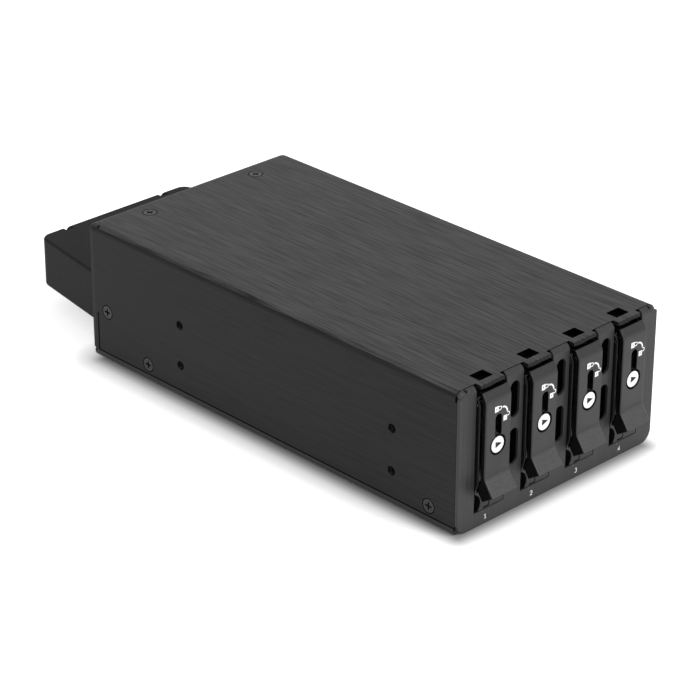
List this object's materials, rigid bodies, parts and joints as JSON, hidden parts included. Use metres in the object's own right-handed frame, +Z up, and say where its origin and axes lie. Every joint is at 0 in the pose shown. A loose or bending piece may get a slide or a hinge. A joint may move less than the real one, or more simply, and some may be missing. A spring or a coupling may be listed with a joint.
{
  "type": "hot swap drive cage",
  "caption": "Low black metal drive cage with side-by-side upright trays, latch levers with locks, vent slots and a moulded rear hood.",
  "frame": {"origin": "middle of the underside, half way between the front plate's face and the rear rim", "axes": "+Z up, bays face -Y, +X to the right seen from the front"},
  "size_m": [0.072, 0.178, 0.0389],
  "materials": {
    "cover_black": "fine brushed black, satin",
    "front_black": "powder coat, satin",
    "lever_black": "powder coat, satin",
    "panel_steel": "plated",
    "pan_steel": "powder coat",
    "moulded_black": "matte",
    "screw_black": "black oxide",
    "tray_metal": "powder coat",
    "heat_plate": "extruded",
    "thermal_pad": "soft pad",
    "pin_steel": "ground",
    "lock_bright": "turned face, black recess",
    "board_green": "solder mask",
    "connector": "moulded",
    "port_shell": "plated",
    "lens": "clear, dark when off"
  },
  "bodies": {
    "cage": {"top_cover": "cover_black", "bottom_pan": "pan_steel", "front_plate": "front_black", "status_lenses": "lens", "rear_panel": "panel_steel", "rear_hood": "moulded_black", "lower_guide": "moulded_black", "upper_guide": "moulded_black", "backplane_board": "board_green", "drive_sockets": "connector", "port_board": "board_green", "board_strips": "moulded_black", "data_ports": "port_shell", "power_inlet": "connector", "blower_housing": "moulded_black", "blower_posts": "moulded_black", "left_side_screws": "screw_black", "right_side_screws": "screw_black", "top_screws": "screw_black"},
    "impeller": {"blower_impeller": "moulded_black"},
    "tray_1": {"tray_1_frame": "tray_metal", "drive_screw_1": "pin_steel", "hinge_pin_1": "pin_steel", "tray_1_heat_plate": "heat_plate", "tray_1_pad": "thermal_pad"},
    "lever_1": {"lever_1": "lever_black"},
    "lock_1": {"lock_1": "lock_bright"},
    "tray_2": {"tray_2_frame": "tray_metal", "drive_screw_2": "pin_steel", "hinge_pin_2": "pin_steel", "tray_2_heat_plate": "heat_plate", "tray_2_pad": "thermal_pad"},
    "lever_2": {"lever_2": "lever_black"},
    "lock_2": {"lock_2": "lock_bright"},
    "tray_3": {"tray_3_frame": "tray_metal", "drive_screw_3": "pin_steel", "hinge_pin_3": "pin_steel", "tray_3_heat_plate": "heat_plate", "tray_3_pad": "thermal_pad"},
    "lever_3": {"lever_3": "lever_black"},
    "lock_3": {"lock_3": "lock_bright"},
    "tray_4": {"tray_4_frame": "tray_metal", "drive_screw_4": "pin_steel", "hinge_pin_4": "pin_steel", "tray_4_heat_plate": "heat_plate", "tray_4_pad": "thermal_pad"},
    "lever_4": {"lever_4": "lever_black"},
    "lock_4": {"lock_4": "lock_bright"}
  },
  "joints": [
    {"name": "impeller_spin", "type": "hinge", "parent": "cage", "child": "impeller", "pos_m": [0, 0.0639, 0.0154], "axis": [0, 0, 1], "continuous": true},
    {"name": "tray_1_slide", "type": "slide", "parent": "cage", "child": "tray_1", "axis": [0, -1, 0], "range_m": [0, 0.095]},
    {"name": "lever_1_swing", "type": "hinge", "parent": "tray_1", "child": "lever_1", "pos_m": [-0.0249, -0.0696, 0.0339], "axis": [-1, 0, 0], "range_deg": [0, 90]},
    {"name": "lock_1_turn", "type": "hinge", "parent": "lever_1", "child": "lock_1", "pos_m": [-0.0249, -0.0716, 0.0224], "axis": [0, -1, 0], "range_deg": [0, 90]},
    {"name": "tray_2_slide", "type": "slide", "parent": "cage", "child": "tray_2", "axis": [0, -1, 0], "range_m": [0, 0.095]},
    {"name": "lever_2_swing", "type": "hinge", "parent": "tray_2", "child": "lever_2", "pos_m": [-0.0083, -0.0696, 0.0339], "axis": [-1, 0, 0], "range_deg": [0, 90]},
    {"name": "lock_2_turn", "type": "hinge", "parent": "lever_2", "child": "lock_2", "pos_m": [-0.0083, -0.0716, 0.0224], "axis": [0, -1, 0], "range_deg": [0, 90]},
    {"name": "tray_3_slide", "type": "slide", "parent": "cage", "child": "tray_3", "axis": [0, -1, 0], "range_m": [0, 0.095]},
    {"name": "lever_3_swing", "type": "hinge", "parent": "tray_3", "child": "lever_3", "pos_m": [0.0083, -0.0696, 0.0339], "axis": [-1, 0, 0], "range_deg": [0, 90]},
    {"name": "lock_3_turn", "type": "hinge", "parent": "lever_3", "child": "lock_3", "pos_m": [0.0083, -0.0716, 0.0224], "axis": [0, -1, 0], "range_deg": [0, 90]},
    {"name": "tray_4_slide", "type": "slide", "parent": "cage", "child": "tray_4", "axis": [0, -1, 0], "range_m": [0, 0.095]},
    {"name": "lever_4_swing", "type": "hinge", "parent": "tray_4", "child": "lever_4", "pos_m": [0.0249, -0.0696, 0.0339], "axis": [-1, 0, 0], "range_deg": [0, 90]},
    {"name": "lock_4_turn", "type": "hinge", "parent": "lever_4", "child": "lock_4", "pos_m": [0.0249, -0.0716, 0.0224], "axis": [0, -1, 0], "range_deg": [0, 90]}
  ]
}
